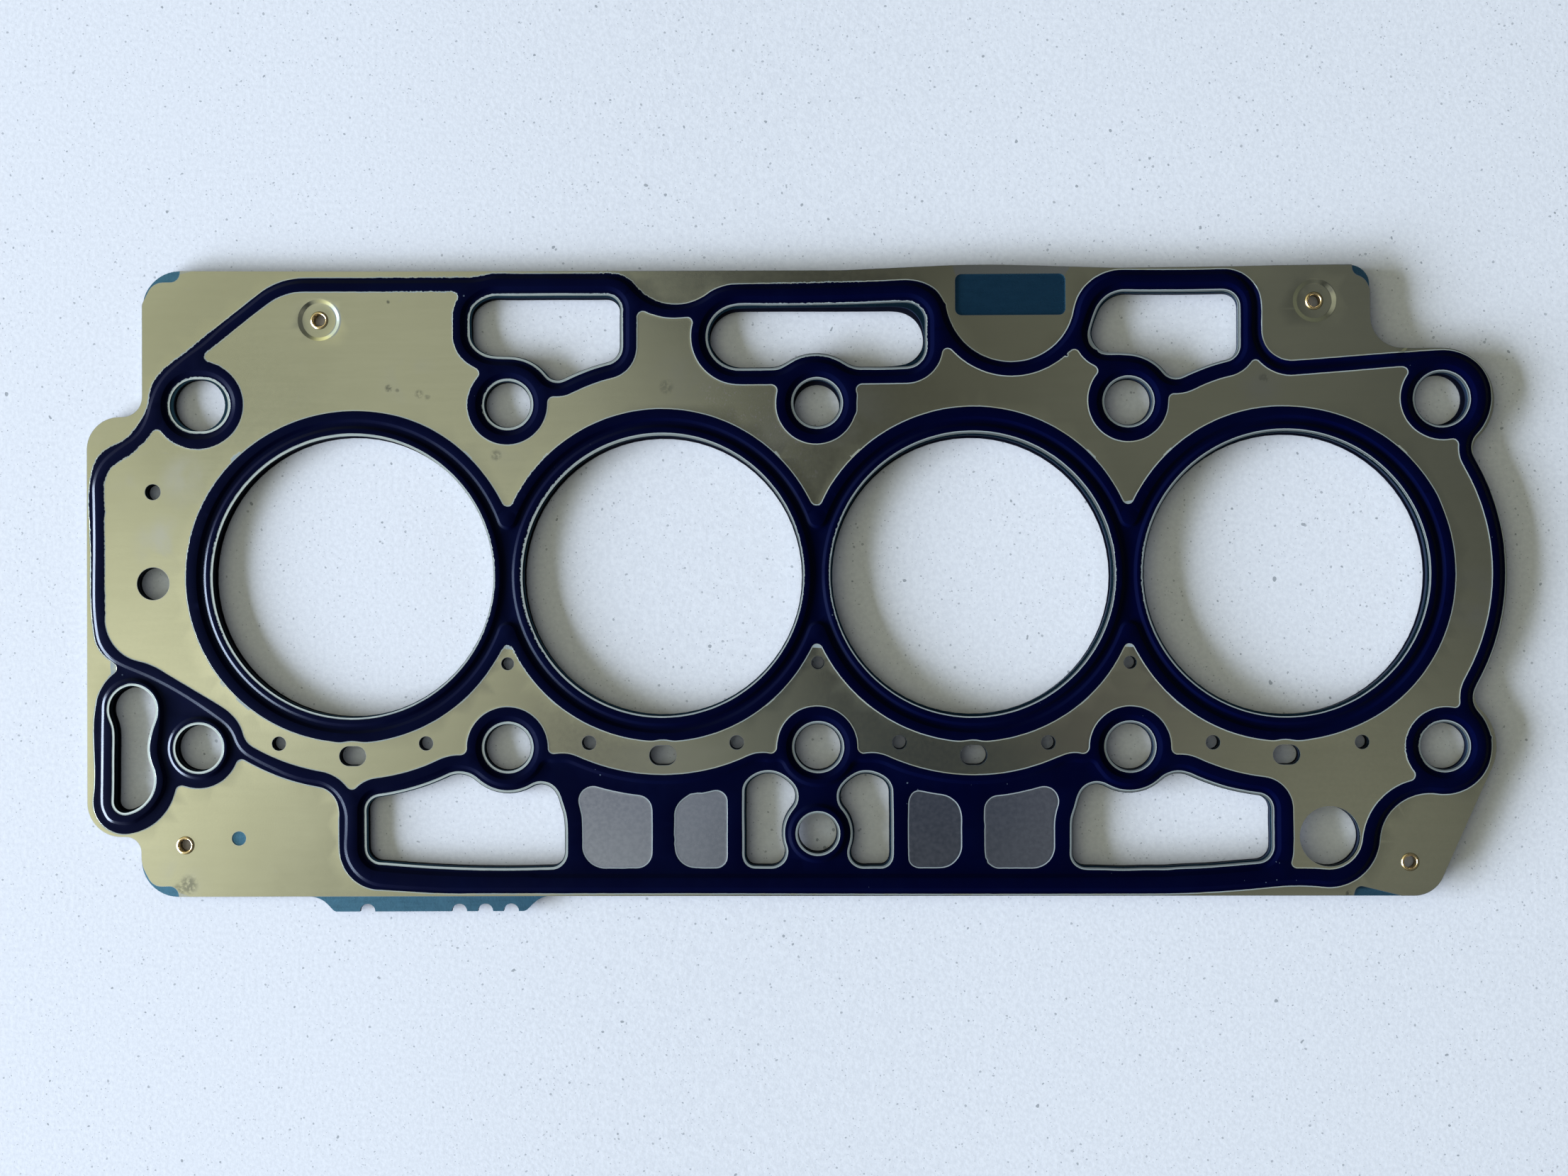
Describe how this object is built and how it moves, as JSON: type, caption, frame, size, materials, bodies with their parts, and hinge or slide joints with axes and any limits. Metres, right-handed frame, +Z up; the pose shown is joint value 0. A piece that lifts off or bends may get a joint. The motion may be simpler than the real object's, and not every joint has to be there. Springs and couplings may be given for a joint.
{
  "type": "cylinder head gasket",
  "caption": "Multi-layer steel cylinder head gasket for an in-line engine: beaded top and bottom sheets, flat carrier, printed seal lines, brass eyelets, bolt and fluid openings.",
  "frame": {"origin": "centre of the head bolt grid, on the plane that the gasket lies on", "axes": "+X along the row of cylinders, away from the wide timing end; +Y across the deck, towards the side with the coolant windows and dowels; +Z up, out of the printed top face"},
  "size_m": [0.3886, 0.1767, 0.0024],
  "materials": {
    "gold_sheet": "satin spring steel with a thin gold-olive coat, and a dark navy rubber seal print",
    "carrier_plate": "satin blue-grey zinc-coated steel",
    "coated_sheet": "spring steel with a thin black rubber coat",
    "brass_eyelet": "rolled, satin"
  },
  "bodies": {
    "root": {"top_layer": "gold_sheet", "carrier_layer": "carrier_plate", "bottom_layer": "coated_sheet", "eyelet_ul": "brass_eyelet", "eyelet_ur": "brass_eyelet", "eyelet_ll": "brass_eyelet", "eyelet_lr": "brass_eyelet"}
  },
  "joints": []
}
